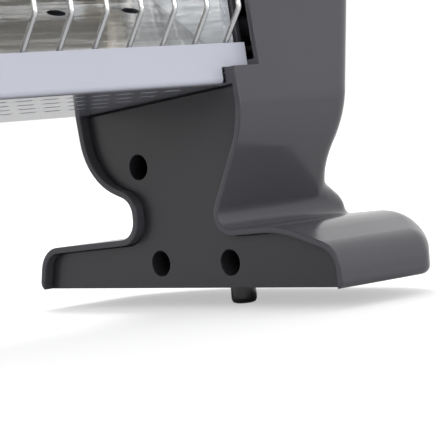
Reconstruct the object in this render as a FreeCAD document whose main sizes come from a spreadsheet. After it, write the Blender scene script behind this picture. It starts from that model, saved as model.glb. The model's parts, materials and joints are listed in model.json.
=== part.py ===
import FreeCAD, Part
import math
import os
import re
import Sketcher
from FreeCAD import Placement, Rotation, Vector

# Quartz heater. Millimetres; +X right seen from the front, +Y to the back, +Z up.
# The body stands in a lean, so its pieces are built square and then set into that lean.

doc = FreeCAD.newDocument("quartz_heater")
sheet = doc.addObject("Spreadsheet::Sheet", "sizes")

SIZES = [
    # folded sheet body
    ("body_length", 280.0),
    ("body_depth", 66.0),
    ("body_height", 168.0),
    ("body_tilt", 5.2),
    ("body_front", -25.5),
    ("body_clear", 61.1),
    ("body_gap", 0.2),
    ("metal", 0.8),
    ("lip_height", 12.2),
    ("rear_round", 2.4),
    ("front_round", 1.8),
    ("lip_notch_rise", 5.1),
    ("lip_notch_gap", 0.6),
    ("slot_length", 6.2),
    ("slot_width", 2.0),
    ("slot_pitch", 9.6),
    ("slot_row_pitch", 10.6),
    ("slot_rows", 4),
    ("slot_columns", 25),
    ("slot_margin", 7.6),
    # cheeks
    ("shoulder", 11.0),
    ("foot_depth", 129.6),
    ("foot_width", 61.5),
    ("corner_round", 42.5),
    ("corner_reach", 37.2),
    ("waist_width", 46.4),
    ("column_width", 62.5),
    ("crown_width", 58.0),
    ("cheek_height", 234.0),
    ("crown_fall", 5.0),
    ("toe_height", 18.8),
    ("heel_height", 14.0),
    ("bulge_front", -31.4),
    ("bulge_height", 49.4),
    ("front_lean", 6.0),
    ("rear_bulge", 38.3),
    ("rear_bulge_height", 34.5),
    ("rear_lean", 7.5),
    ("wall", 1.9),
    ("edge_round", 7.0),
    ("base_round", 2.4),
    ("boss_radius", 4.0),
    ("pilot_radius", 1.65),
    # foot covers
    ("cover_recess", 3.2),
    ("cover_metal", 2.0),
    ("seat_gap", 0.05),
    ("cover_gap", 0.3),
    ("well_radius", 4.0),
    ("well_skin", 1.0),
    ("well_depth", 24.0),
    ("well_low", 7.8),
    ("well_front", -18.4),
    ("well_rear", 11.2),
    ("well_high", 38.0),
    ("well_high_rear", 17.7),
    # screws
    ("screw_radius", 1.6),
    ("screw_head_radius", 3.4),
    ("screw_head", 2.2),
    ("screw_length", 10.0),
    ("frame_screw_inset", 12.0),
    ("frame_screw_rise", 18.0),
    # guard
    ("guard_wire", 1.6),
    ("guard_pitch", 13.3),
    ("guard_count", 21),
    ("guard_stand_off", 6.2),
    ("guard_crank", 9.6),
    ("guard_rail", 2.0),
    ("guard_rail_rise", 5.0),
    # reflector
    ("foil", 0.5),
    ("reflector_front", 5.6),
    ("plate_front", 3.6),
    ("reflector_rise", 8.8),
    ("facet_depth", 30.0),
    ("facet_rise", 30.0),
    ("back_depth", 46.0),
    ("back_rise", 48.0),
    ("ridge_depth", 33.0),
    ("vent_length", 7.0),
    ("vent_height", 3.4),
    ("vent_pitch", 30.2),
    ("vent_count", 9),
    # tubes
    ("tube_depth", 27.0),
    ("tube_rise", 54.0),
    ("tube_radius", 6.0),
    ("tube_skin", 1.1),
    ("cap_radius", 9.0),
    ("cap_length", 9.5),
    ("cap_bore_depth", 6.5),
    ("cap_fit", 0.15),
    ("neck_radius", 4.8),
    ("neck_length", 7.0),
    ("neck_fit", 0.2),
    ("stud_radius", 2.0),
    ("stud_length", 7.0),
    ("coil_radius", 3.5),
    ("coil_wire", 0.9),
    ("coil_turns", 44),
    ("coil_bend", 1.4),
    ("frame_front", 6.6),
    ("frame_flange", 3.6),
    ("frame_fit", 0.15),
    # tip-over switch
    ("plunger_drop", 6.2),
    ("plunger_radius", 3.95),
    ("plunger_in", 19.0),
    ("plunger_y", -8.0),
    ("plunger_fit", 0.35),
    ("plunger_flange_radius", 5.0),
    ("plunger_flange", 1.8),
    ("stem_radius", 1.9),
    ("guide_rise", 24.0),
    ("guide_metal", 2.2),
    ("stem_over", 3.0),
    ("spring_wire", 0.7),
    ("spring_radius", 3.3),
    ("spring_turns", 7),
    ("lever_reach", 20.0),
    ("lever_metal", 0.8),
    ("lever_width", 4.0),
    ("lever_play", 0.35),
    ("snap_length", 20.0),
    ("snap_width", 6.4),
    ("snap_height", 10.2),
    # rocker switches
    ("switch_rise_low", 100.0),
    ("switch_rise_high", 130.0),
    ("switch_in", 36.0),
    ("bezel_width", 15.0),
    ("bezel_height", 21.0),
    ("bezel", 1.8),
    ("switch_width", 12.8),
    ("switch_height", 18.8),
    ("switch_depth", 13.0),
    ("switch_fit", 0.2),
    ("rocker_width", 9.6),
    ("rocker_height", 14.8),
    ("rocker_tilt", 10.0),
    ("rocker_fit", 0.7),
    ("pivot_radius", 0.7),
    # inlet, terminals and grip
    ("bush_rise", 46.0),
    ("bush_in", 36.0),
    ("bush_radius", 6.0),
    ("bush_bore", 3.6),
    ("bush_flange", 2.0),
    ("block_length", 26.0),
    ("block_width", 16.0),
    ("block_height", 12.0),
    ("grip_length", 96.0),
    ("grip_height", 34.0),
    ("grip_depth", 16.0),
    ("grip_skin", 2.0),
    ("grip_rim", 8.0),
    ("grip_rise", 118.0),
    ("lead_radius", 1.1),
    ("lead_depth", 41.0),
    ("lead_bend", 4.0),
]

for row, (alias, value) in enumerate(SIZES, 1):
    sheet.set("A%d" % row, alias)
    sheet.set("B%d" % row, str(value))
    sheet.setAlias("B%d" % row, alias)
doc.recompute()

WORD = re.compile(r"\b(%s)\b" % "|".join(alias for alias, value in SIZES))


def cell(text):
    """An expression on the sheet, from one written with its bare names."""
    return WORD.sub(r"sizes.\1", text)


def size(text):
    """The value of such an expression."""
    return float(sheet.evalExpression(cell(text)))


NODES = []


def keep(piece, label):
    """Name a finished sub-part and list it for export."""
    piece.Label = label
    NODES.append(piece)
    return piece


LEAN = cell(
    "placement(vector(0; body_front; body_clear + plunger_drop);"
    " rotation(vector(1; 0; 0); -body_tilt))"
)


def lean(piece):
    """Set a piece built square to the body into the body's lean."""
    piece.setExpression("Placement", LEAN)
    return piece


def lean_placement():
    """The same lean as a placement, for shapes cut in code."""
    base = Vector(0, size("body_front"), size("body_clear + plunger_drop"))
    return Placement(base, Rotation(Vector(1, 0, 0), -size("body_tilt")))


# Sketch helpers: every corner and circle is bound to the sheet.


def new_body(label):
    return keep(doc.addObject("PartDesign::Body", label), label)


def sketch_on(body, role, shift="0", across="0", along="0"):
    """A sketch on one origin plane of a body, moved along and across it."""
    sketch = body.newObject("Sketcher::SketchObject", body.Name + "_sketch")
    plane = [part for part in body.Origin.OriginFeatures if part.Role == role][0]
    sketch.AttachmentSupport = [(plane, "")]
    sketch.MapMode = "FlatFace"
    sketch.setExpression("AttachmentOffset.Base.x", cell(across))
    sketch.setExpression("AttachmentOffset.Base.y", cell(along))
    sketch.setExpression("AttachmentOffset.Base.z", cell(shift))
    return sketch


def bind(sketch, kind, first, second, text):
    """One dimension between two points of a sketch, driven by the sheet."""
    rule = Sketcher.Constraint(kind, first[0], first[1], second[0], second[1], size(text))
    index = sketch.addConstraint(rule)
    sketch.setExpression("Constraints[%d]" % index, cell(text))


def polygon(sketch, corners):
    """A closed outline of straight sides through corners given as expressions."""
    start = sketch.GeometryCount
    spots = [Vector(size(across), size(along), 0) for across, along in corners]
    count = len(spots)
    for turn in range(count):
        sketch.addGeometry(Part.LineSegment(spots[turn], spots[(turn + 1) % count]))
    for turn in range(count):
        after = start + (turn + 1) % count
        sketch.addConstraint(Sketcher.Constraint("Coincident", start + turn, 2, after, 1))
    for turn, (across, along) in enumerate(corners):
        bind(sketch, "DistanceX", (-1, 1), (start + turn, 1), across)
        bind(sketch, "DistanceY", (-1, 1), (start + turn, 1), along)


def rectangle(sketch, left, low, right, high):
    polygon(sketch, [(left, low), (right, low), (right, high), (left, high)])


def circle(sketch, across, along, radius):
    middle = Vector(size(across), size(along), 0)
    index = sketch.addGeometry(Part.Circle(middle, Vector(0, 0, 1), size(radius)))
    rule = sketch.addConstraint(Sketcher.Constraint("Radius", index, size(radius)))
    sketch.setExpression("Constraints[%d]" % rule, cell(radius))
    bind(sketch, "DistanceX", (-1, 1), (index, 3), across)
    bind(sketch, "DistanceY", (-1, 1), (index, 3), along)


def pad(body, sketch, length, backwards=False):
    feature = body.newObject("PartDesign::Pad", body.Name + "_pad")
    feature.Profile = sketch
    feature.Reversed = backwards
    feature.setExpression("Length", cell(length))
    sketch.Visibility = False
    doc.recompute()
    return feature


def pocket(body, sketch, length, backwards=False):
    before = body.Shape.Volume
    feature = body.newObject("PartDesign::Pocket", body.Name + "_pocket")
    feature.Profile = sketch
    feature.Reversed = backwards
    feature.setExpression("Length", cell(length))
    sketch.Visibility = False
    doc.recompute()
    if not body.Shape.Volume < before - 1e-6:
        raise RuntimeError("a pocket of %s cut nothing" % body.Label)
    return feature


def turned(label, role, axis, profile, shift="0", across="0", along="0"):
    """A turned piece: an outline spun about one axis of its sketch."""
    body = new_body(label)
    sketch = sketch_on(body, role, shift, across, along)
    polygon(sketch, profile)
    feature = body.newObject("PartDesign::Revolution", body.Name + "_turned")
    feature.Profile = sketch
    feature.ReferenceAxis = (sketch, [axis])
    feature.Angle = 360.0
    sketch.Visibility = False
    doc.recompute()
    return body


def edges_along(shape, test):
    """Names of the straight edges along X whose middle passes a test."""
    names = []
    for number, edge in enumerate(shape.Edges, 1):
        first, last = edge.Vertexes[0].Point, edge.Vertexes[-1].Point
        straight = abs(abs(last.x - first.x) - edge.Length) < 1e-6
        if straight and edge.Length > 1 and test((first + last) * 0.5):
            names.append("Edge%d" % number)
    return names


def round_edges(body, base, names, radius):
    feature = body.newObject("PartDesign::Fillet", body.Name + "_round")
    feature.Base = (base, names)
    feature.setExpression("Radius", cell(radius))
    doc.recompute()
    return feature


def hollow(body, base, test):
    """Turn a padded block into a folded sheet, open at the faces that pass a test."""
    names = []
    for number, face in enumerate(base.Shape.Faces, 1):
        if test(face.CenterOfMass, face.normalAt(0, 0)):
            names.append("Face%d" % number)
    feature = body.newObject("PartDesign::Thickness", body.Name + "_sheet")
    feature.Base = (base, names)
    feature.setExpression("Value", cell("metal"))
    feature.Reversed = True
    feature.Join = 1
    doc.recompute()
    return feature


def grid(body, feature, sketch, columns, rows):
    """Repeat one pocket over a grid of columns and rows."""
    pattern = body.newObject("PartDesign::MultiTransform", body.Name + "_grid")
    steps = []
    for axis, count, pitch in (
        ("H_Axis", columns, "slot_pitch"),
        ("V_Axis", rows, "slot_row_pitch"),
    ):
        step = doc.addObject("PartDesign::LinearPattern", body.Name + "_step")
        step.Direction = (sketch, [axis])
        step.setExpression("Length", cell("%s * (%s - 1)" % (pitch, count)))
        step.setExpression("Occurrences", cell(count))
        body.addObject(step)
        steps.append(step)
    pattern.Originals = [feature]
    pattern.Transformations = steps
    body.Tip = pattern
    doc.recompute()
    return pattern


# Body shell: one folded sheet, slotted below, above and behind, open in front.
shell = new_body("body_shell")
sketch = sketch_on(shell, "YZ_Plane", "-body_length / 2 + body_gap")
rectangle(sketch, "0", "0", "body_depth", "body_height")
block = pad(shell, sketch, "body_length - 2 * body_gap")
middle_depth = size("body_depth / 2")
rear = edges_along(block.Shape, lambda spot: spot.y > middle_depth)
block = round_edges(shell, block, rear, "rear_round")
front = edges_along(block.Shape, lambda spot: spot.y < 0.01)
block = round_edges(shell, block, front, "front_round")
hollow(shell, block, lambda spot, normal: abs(normal.x) > 0.99)
sketch = sketch_on(shell, "XZ_Plane")
rectangle(sketch, "-body_length", "lip_height", "body_length", "body_height - lip_height")
pocket(shell, sketch, "metal * 2")
sketch = sketch_on(shell, "XZ_Plane")
NOTCH = "body_length / 2 - shoulder - lip_notch_gap"
rectangle(sketch, NOTCH, "-1", "body_length / 2 + 1", "lip_notch_rise")
rectangle(sketch, "-body_length / 2 - 1", "-1", "-(%s)" % NOTCH, "lip_notch_rise")
pocket(shell, sketch, "metal * 4")
SLOT_LEFT = "-slot_pitch * (slot_columns - 1) / 2 - slot_length / 2"
SLOT_RIGHT = "-slot_pitch * (slot_columns - 1) / 2 + slot_length / 2"
for level, backwards in (("0", True), ("body_height", False)):
    sketch = sketch_on(shell, "XY_Plane", level)
    far = "slot_margin + slot_width"
    rectangle(sketch, SLOT_LEFT, "slot_margin", SLOT_RIGHT, far)
    slot = pocket(shell, sketch, "metal * 1.5", backwards)
    grid(shell, slot, sketch, "slot_columns", "slot_rows")
sketch = sketch_on(shell, "XZ_Plane", "-body_depth")
REAR_ROW = "body_height / 4"
rectangle(sketch, SLOT_LEFT, REAR_ROW, SLOT_RIGHT, REAR_ROW + " + slot_width")
slot = pocket(shell, sketch, "metal * 1.5", True)
grid(shell, slot, sketch, "slot_columns", "slot_rows")
sketch = sketch_on(shell, "XZ_Plane", "-body_depth")
rectangle(
    sketch,
    "-grip_length / 2 - body_gap",
    "grip_rise - body_gap",
    "grip_length / 2 + body_gap",
    "grip_rise + grip_height + body_gap",
)
pocket(shell, sketch, "metal * 1.5", True)
lean(shell)

# End frames: trays inside both ends of the body; they carry the caps and meet the cheeks.
FRAME_END = "body_length / 2 - body_gap"
FRAME_REAR = "body_depth - metal - frame_fit"
FRAME_TOP = "body_height - metal - frame_fit"
CAP_ROWS = ("tube_rise", "body_height - tube_rise")
SCREW_SPOTS = [
    (across, along)
    for across in ("frame_screw_inset", "body_depth - frame_screw_inset")
    for along in ("frame_screw_rise", "body_height - frame_screw_rise")
]
for side, sign in (("right", 1), ("left", -1)):
    frame = new_body("end_frame_" + side)
    start = FRAME_END if sign < 0 else FRAME_END + " - frame_flange"
    sketch = sketch_on(frame, "YZ_Plane", start if sign > 0 else "-(%s)" % start)
    rectangle(sketch, "frame_front", "metal + frame_fit", FRAME_REAR, FRAME_TOP)
    block = pad(frame, sketch, "frame_flange")
    rear = edges_along(block.Shape, lambda spot: spot.y > middle_depth)
    block = round_edges(frame, block, rear, "rear_round - metal")
    hollow(frame, block, lambda spot, normal: normal.x * sign < -0.99)
    sketch = sketch_on(frame, "YZ_Plane", "(%s) * %d" % (FRAME_END, sign))
    for row in CAP_ROWS:
        circle(sketch, "tube_depth", row, "neck_radius + neck_fit")
    for across, along in SCREW_SPOTS:
        circle(sketch, across, along, "screw_radius + neck_fit")
    circle(sketch, "lead_depth", "body_height / 2", "lead_radius + 1")
    pocket(frame, sketch, "metal * 2", sign < 0)
    lean(frame)

# Quartz tubes and their ceramic caps, each cap with its stud and retainer ring.
CAP_FACE = "body_length / 2 - body_gap - metal"
CAP_BOTTOM = "(%s) - cap_length + cap_bore_depth" % CAP_FACE
TUBE_END = "(%s) - cap_fit * 2" % CAP_BOTTOM
RING_FACE = "body_length / 2 - body_gap + cap_fit"
studs = []
rings = []
for row, along in zip(("lower", "upper"), CAP_ROWS):
    tube = new_body("quartz_tube_" + row)
    sketch = sketch_on(tube, "YZ_Plane", "-(%s)" % TUBE_END)
    circle(sketch, "tube_depth", along, "tube_radius")
    circle(sketch, "tube_depth", along, "tube_radius - tube_skin")
    pad(tube, sketch, "2 * (%s)" % TUBE_END)
    lean(tube)
    for side, sign in (("right", 1), ("left", -1)):

        def mirrored(profile):
            return [("%d * (%s)" % (sign, across), radius) for across, radius in profile]

        bore = "tube_radius + cap_fit"
        mouth = "(%s) - cap_length" % CAP_FACE
        neck_end = "(%s) + neck_length" % CAP_FACE
        stud_hole = "stud_radius + cap_fit / 3"
        cap = turned(
            "ceramic_cap_%s_%s" % (row, side),
            "XZ_Plane",
            "H_Axis",
            mirrored(
                [
                    (mouth, bore),
                    (mouth, "cap_radius - 1"),
                    (mouth + " + 1", "cap_radius"),
                    (CAP_FACE, "cap_radius"),
                    (CAP_FACE, "neck_radius"),
                    (neck_end, "neck_radius"),
                    (neck_end, stud_hole),
                    (CAP_BOTTOM, stud_hole),
                    (CAP_BOTTOM, bore),
                ]
            ),
            "-tube_depth",
            "0",
            along,
        )
        lean(cap)
        stud = turned(
            "terminal_stud_%s_%s" % (row, side),
            "XZ_Plane",
            "H_Axis",
            mirrored(
                [
                    (CAP_BOTTOM + " + cap_fit", "0"),
                    (CAP_BOTTOM + " + cap_fit", "stud_radius"),
                    (neck_end + " + cap_fit", "stud_radius"),
                    (neck_end + " + cap_fit", "stud_radius + 1.5"),
                    (neck_end + " + cap_fit + 1.2", "stud_radius + 1.5"),
                    (neck_end + " + cap_fit + 1.2", "stud_radius"),
                    (neck_end + " + stud_length", "stud_radius"),
                    (neck_end + " + stud_length", "0"),
                ]
            ),
            "-tube_depth",
            "0",
            along,
        )
        studs.append(lean(stud))
        ring = turned(
            "cap_ring_%s_%s" % (row, side),
            "XZ_Plane",
            "H_Axis",
            mirrored(
                [
                    (RING_FACE, "neck_radius + cap_fit / 2"),
                    (RING_FACE, "neck_radius + 3"),
                    (RING_FACE + " + 1", "neck_radius + 3"),
                    (RING_FACE + " + 1", "neck_radius + cap_fit / 2"),
                ]
            ),
            "-tube_depth",
            "0",
            along,
        )
        rings.append(lean(ring))

for label, group in (("terminal_studs", studs), ("cap_rings", rings)):
    for piece in group:
        NODES.remove(piece)
    bundle = keep(doc.addObject("Part::Compound", label), label)
    bundle.Links = group


# Wound and bent round stock: a path of lines and arcs with a circle drawn along it.


def arc_edge(start, corner, end):
    """The arc that leaves and arrives along the two equal sides of a corner."""
    chord = (start + end) * 0.5
    weight = (end - start).Length * 0.5 / (corner - start).Length
    middle = (chord + corner * weight) * (1.0 / (1.0 + weight))
    return Part.Arc(start, middle, end).toShape()


def biarc(start, leave, end, arrive):
    """Two arcs that join two points and keep the direction at both."""
    span = end - start
    both = leave + arrive
    fold = 2.0 * (1.0 - leave.dot(arrive))
    reach = (-span.dot(both) + math.sqrt(span.dot(both) ** 2 + fold * span.dot(span))) / fold
    first = start + leave * reach
    second = end - arrive * reach
    joint = (first + second) * 0.5
    return [arc_edge(start, first, joint), arc_edge(joint, second, end)]


def bent_path(spots, radius):
    """Edges of a path through corner points, each corner turned on one radius."""
    edges = []
    last = spots[0]
    for before, corner, after in zip(spots, spots[1:], spots[2:]):
        come = (corner - before).normalize()
        leave = (after - corner).normalize()
        reach = radius * math.tan(come.getAngle(leave) / 2)
        start = corner - come * reach
        end = corner + leave * reach
        edges.append(Part.makeLine(last, start))
        edges.append(arc_edge(start, corner, end))
        last = end
    edges.append(Part.makeLine(last, spots[-1]))
    return edges


def drawn(edges, radius):
    """Round stock of one radius along a path."""
    path = Part.Wire(edges)
    start = edges[0].Vertexes[0].Point
    way = edges[0].tangentAt(edges[0].FirstParameter)
    ring = Part.Wire(Part.makeCircle(radius, start, way))
    return path.makePipeShell([ring], True, False)


def helix_edges(start, turns, pitch, radius):
    """A helix along +X as half-turn biarcs, with the direction at both of its ends."""
    count = int(round(turns * 2))
    spots = []
    ways = []
    for step in range(count + 1):
        angle = math.pi * step
        across = Vector(0, math.cos(angle), math.sin(angle)) * radius
        spots.append(start + across + Vector(pitch * step / 2.0, 0, 0))
        along = Vector(0, -math.sin(angle), math.cos(angle)) * (2 * math.pi * radius)
        ways.append((along + Vector(pitch, 0, 0)).normalize())
    edges = []
    for step in range(count):
        edges += biarc(spots[step], ways[step], spots[step + 1], ways[step + 1])
    return edges, spots, ways


def least_gap(edges, apart, thick):
    """Least clear distance of a wound wire to itself, on points of its centre line."""
    spots = []
    for edge in edges:
        first, last = edge.ParameterRange
        for part in range(4):
            spots.append(edge.valueAt(first + (last - first) * part / 4.0))
    walk = [0.0]
    for before, after in zip(spots, spots[1:]):
        walk.append(walk[-1] + (after - before).Length)
    best = 1e9
    for here in range(0, len(spots), 3):
        for there in range(here + 1, min(here + 60, len(spots))):
            if walk[there] - walk[here] > apart:
                best = min(best, (spots[there] - spots[here]).Length - thick)
    return best


def lead_out(spot, way, bend, end):
    """From the end of a helix round one bend, then straight along X to a place."""
    ahead = Vector(1 if end > spot.x else -1, 0, 0)
    reach = bend * math.tan(way.getAngle(ahead) / 2)
    corner = spot + way * reach
    leave = corner + ahead * reach
    stop = Vector(end, leave.y, leave.z)
    return arc_edge(spot, corner, leave), Part.makeLine(leave, stop), stop


stud_face = size(CAP_BOTTOM)
for row, along in zip(("lower", "upper"), CAP_ROWS):
    turns = size("coil_turns")
    half = stud_face - size("coil_bend * 6")
    pitch = 2 * half / turns
    centre = Vector(-half, size("tube_depth"), size(along))
    edges, spots, ways = helix_edges(centre, turns, pitch, size("coil_radius"))
    out_arc, out_line, _ = lead_out(spots[-1], ways[-1], size("coil_bend"), stud_face)
    in_arc, in_line, _ = lead_out(spots[0], ways[0] * -1, size("coil_bend"), -stud_face)
    tail = Part.Arc(in_arc.Vertexes[-1].Point, in_arc.valueAt(sum(in_arc.ParameterRange) / 2), spots[0])
    path = [Part.makeLine(in_line.Vertexes[-1].Point, in_line.Vertexes[0].Point), tail.toShape()]
    path += edges + [out_arc, out_line]
    gap = least_gap(path, 4 * size("coil_radius"), size("coil_wire"))
    print("heating_coil_%s least gap to itself %.2f mm" % (row, gap))
    coil = keep(doc.addObject("Part::Feature", "heating_coil_" + row), "heating_coil_" + row)
    coil.Shape = drawn(path, size("coil_wire / 2"))
    lean(coil)

# Wire guard: upright wires cranked back behind both lips, rails and clips behind the lips.
tuck = size("metal + guard_wire / 2 + 0.3")
low = size("lip_height")
high = size("body_height - lip_height")
crank = size("guard_crank")
stand = -size("guard_stand_off")
floor = size("metal + 0.3")
profile = [
    Vector(0, tuck, floor),
    Vector(0, tuck, low - 0.6),
    Vector(0, stand, low + crank),
    Vector(0, stand, high - crank),
    Vector(0, tuck, high + 0.6),
    Vector(0, tuck, size("body_height") - floor),
]
upright = drawn(bent_path(profile, size("guard_wire * 1.4")), size("guard_wire / 2"))
wires = []
for turn in range(int(size("guard_count"))):
    wire = upright.copy()
    wire.translate(Vector((turn - (size("guard_count") - 1) / 2.0) * size("guard_pitch"), 0, 0))
    wires.append(wire)
guard = keep(doc.addObject("Part::Feature", "guard_wires"), "guard_wires")
guard.Shape = Part.makeCompound(wires)
lean(guard)

RAIL_DEPTH = "metal + guard_wire + 0.3 + guard_rail / 2"
RAIL_HALF = "guard_pitch * (guard_count - 1) / 2 + guard_wire"
CLIP_RANKS = ("-guard_pitch * 7.5", "guard_pitch * 7.5")
rails = []
clips = []
for along in ("guard_rail_rise", "body_height - guard_rail_rise"):
    rail = new_body("guard_rail_%d" % len(rails))
    sketch = sketch_on(rail, "YZ_Plane", "-(%s)" % RAIL_HALF)
    circle(sketch, RAIL_DEPTH, along, "guard_rail / 2")
    pad(rail, sketch, "2 * (%s)" % RAIL_HALF)
    rails.append(lean(rail))
    for rank in CLIP_RANKS:
        clip = new_body("guard_clip_%d" % len(clips))
        sketch = sketch_on(clip, "YZ_Plane", "%s - slot_length / 2" % rank)
        half = "(guard_rail / 2 + 1.2)"
        near = "metal + 0.02"
        far = "%s + guard_rail / 2 + 0.9" % RAIL_DEPTH
        rectangle(sketch, near, "%s - %s" % (along, half), far, "%s + %s" % (along, half))
        circle(sketch, RAIL_DEPTH, along, "guard_rail / 2 + 0.15")
        pad(clip, sketch, "slot_length")
        clips.append(lean(clip))
for label, group in (("guard_rails", rails), ("guard_clips", clips)):
    for piece in group:
        NODES.remove(piece)
    bundle = keep(doc.addObject("Part::Compound", label), label)
    bundle.Links = group


# Reflector: one folded foil with a trough behind each tube, and a plate at each end.


def folded(spots, thick):
    """Closed outline of a folded sheet whose front follows a line of corners."""
    back = []
    for turn, spot in enumerate(spots):
        normals = []
        for first, second in ((turn - 1, turn), (turn, turn + 1)):
            if first >= 0 and second < len(spots):
                way = (spots[second] - spots[first]).normalize()
                normals.append(Vector(0, way.z, -way.y))
        bisector = normals[0] + normals[-1]
        back.append(spot + bisector * (2 * thick / bisector.dot(bisector)))
    ring = spots + back[::-1]
    return Part.Face(Part.makePolygon(ring + [ring[0]]))


half_height = size("body_height / 2")
lower = [
    (size("reflector_front"), size("reflector_rise") - 5.0),
    (size("reflector_front"), size("reflector_rise")),
    (size("facet_depth"), size("facet_rise")),
    (size("back_depth"), size("back_rise")),
    (size("back_depth"), 2 * size("tube_rise") - size("back_rise")),
    (size("ridge_depth"), half_height),
]
upper = [(depth, 2 * half_height - rise) for depth, rise in lower[-2::-1]]
corners = [Vector(0, depth, rise) for depth, rise in lower + upper]
REFLECTOR_HALF = "body_length / 2 - frame_flange - 1.4"
foil = folded(corners, size("foil"))
foil.translate(Vector(-size(REFLECTOR_HALF), 0, 0))
trough = foil.extrude(Vector(2 * size(REFLECTOR_HALF), 0, 0))
vents = []
for first, second in ((1, 2), (len(corners) - 2, len(corners) - 3)):
    middle = corners[first] + (corners[second] - corners[first]) * 0.86
    way = (corners[second] - corners[first]).normalize()
    normal = Vector(0, way.z, -way.y)
    for turn in range(int(size("vent_count"))):
        along = (turn - (size("vent_count") - 1) / 2) * size("vent_pitch")
        spot = middle + Vector(along, 0, 0) - normal * 4
        tip = spot + Vector(size("vent_length / 2"), 0, 0)
        top = spot + way * size("vent_height / 2")
        oval = Part.Face(Part.Wire(Part.Ellipse(tip, top, spot).toShape()))
        vents.append(oval.extrude(normal * 8))
trough = trough.cut(Part.makeCompound(vents))
reflector = keep(doc.addObject("Part::Feature", "reflector"), "reflector")
reflector.Shape = trough
lean(reflector)

for side, sign in (("right", 1), ("left", -1)):
    plate = new_body("reflector_end_" + side)
    near = "(%s) + frame_fit" % REFLECTOR_HALF
    far = "%s + foil" % near
    start = near if sign > 0 else "-(%s)" % far
    sketch = sketch_on(plate, "YZ_Plane", start)
    edge = "reflector_rise - 5"
    rectangle(sketch, "plate_front", edge, "back_depth + foil * 2", "body_height - (%s)" % edge)
    pad(plate, sketch, "foil")
    sketch = sketch_on(plate, "YZ_Plane", start)
    front = "plate_front + foil"
    rectangle(sketch, "plate_front", edge, front, "body_height - (%s)" % edge)
    flange = "frame_flange + foil / 2"
    pad(plate, sketch, flange if sign > 0 else flange + " - foil", sign < 0)
    sketch = sketch_on(plate, "YZ_Plane", "%d * (%s - 1)" % (sign, near))
    for row in CAP_ROWS:
        circle(sketch, "tube_depth", row, "cap_radius + neck_fit")
    circle(sketch, "lead_depth", "body_height / 2", "lead_radius + 1")
    pocket(plate, sketch, "4 + foil", sign > 0)
    lean(plate)


# Cheeks: a side outline and a front outline, crossed, rounded and hollowed.


def inset(corners, depth):
    """The same rounded polygon with every side moved in by a depth."""
    count = len(corners)
    moved = []
    for turn in range(count):
        before = Vector(corners[turn - 1][0], corners[turn - 1][1], 0)
        here = Vector(corners[turn][0], corners[turn][1], 0)
        after = Vector(corners[(turn + 1) % count][0], corners[(turn + 1) % count][1], 0)
        come = (here - before).normalize()
        leave = (after - here).normalize()
        inward = Vector(-come.y, come.x, 0) + Vector(-leave.y, leave.x, 0)
        spot = here + inward * (2 * depth / inward.dot(inward))
        hollow_side = come.cross(leave).z < 0
        radius = corners[turn][2]
        if radius > 0:
            radius = radius + depth if hollow_side else max(radius - depth, 0.0)
        moved.append((spot.x, spot.y, radius))
    return moved


def outline_face(corners, place):
    """A face bounded by a polygon whose corners are rounded, set in space by a rule."""
    count = len(corners)
    starts = []
    for turn in range(count):
        before = Vector(corners[turn - 1][0], corners[turn - 1][1], 0)
        here = Vector(corners[turn][0], corners[turn][1], 0)
        after = Vector(corners[(turn + 1) % count][0], corners[(turn + 1) % count][1], 0)
        come = (here - before).normalize()
        leave = (after - here).normalize()
        reach = corners[turn][2] * math.tan(come.getAngle(leave) / 2)
        starts.append((here - come * reach, here, here + leave * reach))
    edges = []
    for turn in range(count):
        first, corner, last = [place(spot.x, spot.y) for spot in starts[turn]]
        onward = place(starts[(turn + 1) % count][0].x, starts[(turn + 1) % count][0].y)
        if (last - first).Length > 1e-6:
            edges.append(arc_edge(first, corner, last))
        if (onward - last).Length > 1e-6:
            edges.append(Part.makeLine(last, onward))
    return Part.Face(Part.Wire(edges))


def side_outline():
    """Side view of a cheek, anticlockwise from the heel's lower corner: (y, z, radius)."""
    half = size("foot_depth / 2")
    toe = size("toe_height")
    heel = size("heel_height")
    top = size("cheek_height")
    rear_top = top - size("crown_fall")
    crown_front = size("bulge_front + (cheek_height - bulge_height) * tan(front_lean)")
    crown_rear = size("rear_bulge") + (rear_top - size("rear_bulge_height")) * math.tan(
        math.radians(size("rear_lean"))
    )
    throat = size("rear_bulge") - 19.4
    return [
        (half, 0.0, 0.0),
        (half - 2.6, heel - 0.6, 8.6),
        (throat, heel + 2.0, 6.0),
        (throat, size("rear_bulge_height") - 7.1, 6.0),
        (size("rear_bulge"), size("rear_bulge_height"), 21.0),
        (crown_rear, rear_top, 32.0),
        (crown_front, top, 26.0),
        (size("bulge_front"), size("bulge_height"), 30.0),
        (size("bulge_front") + 16.4, toe - 1.2, 4.5),
        (-half + 22.8, toe, 40.0),
        (-half + 0.5, toe - 7.0, 9.0),
        (-half, 0.0, 0.0),
    ]


def front_outline():
    """Front view of a cheek's outer side, anticlockwise: (distance from the rim, z, radius)."""
    foot = size("foot_width")
    return [
        (-20.0, -20.0, 0.0),
        (foot, -20.0, 0.0),
        (foot, size("toe_height") + 5.0, 9.0),
        (size("waist_width"), size("toe_height") + 14.0, 15.0),
        (size("column_width"), size("bulge_height") + 43.0, 70.0),
        (size("crown_width"), size("cheek_height") + 20.0, 0.0),
        (-20.0, size("cheek_height") + 20.0, 0.0),
    ]


def foot_corners(depth):
    """What the rounded outer corners of the toe and heel leave off, moved in by a depth."""
    middle = size("foot_width - corner_round")
    round_at = size("foot_depth / 2 - corner_reach")
    radius = size("corner_round") - depth
    pieces = []
    for sign, top in ((-1, size("toe_height") + 30.0), (1, size("heel_height") + 8.0)):
        low = min(sign * round_at, sign * 100.0)
        block = Part.makeBox(100, 100 - round_at, top + 20, Vector(middle, low, -20))
        pieces.append(block.cut(Part.makeCylinder(radius, top + 60, Vector(middle, sign * round_at, -40))))
    return pieces


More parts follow.
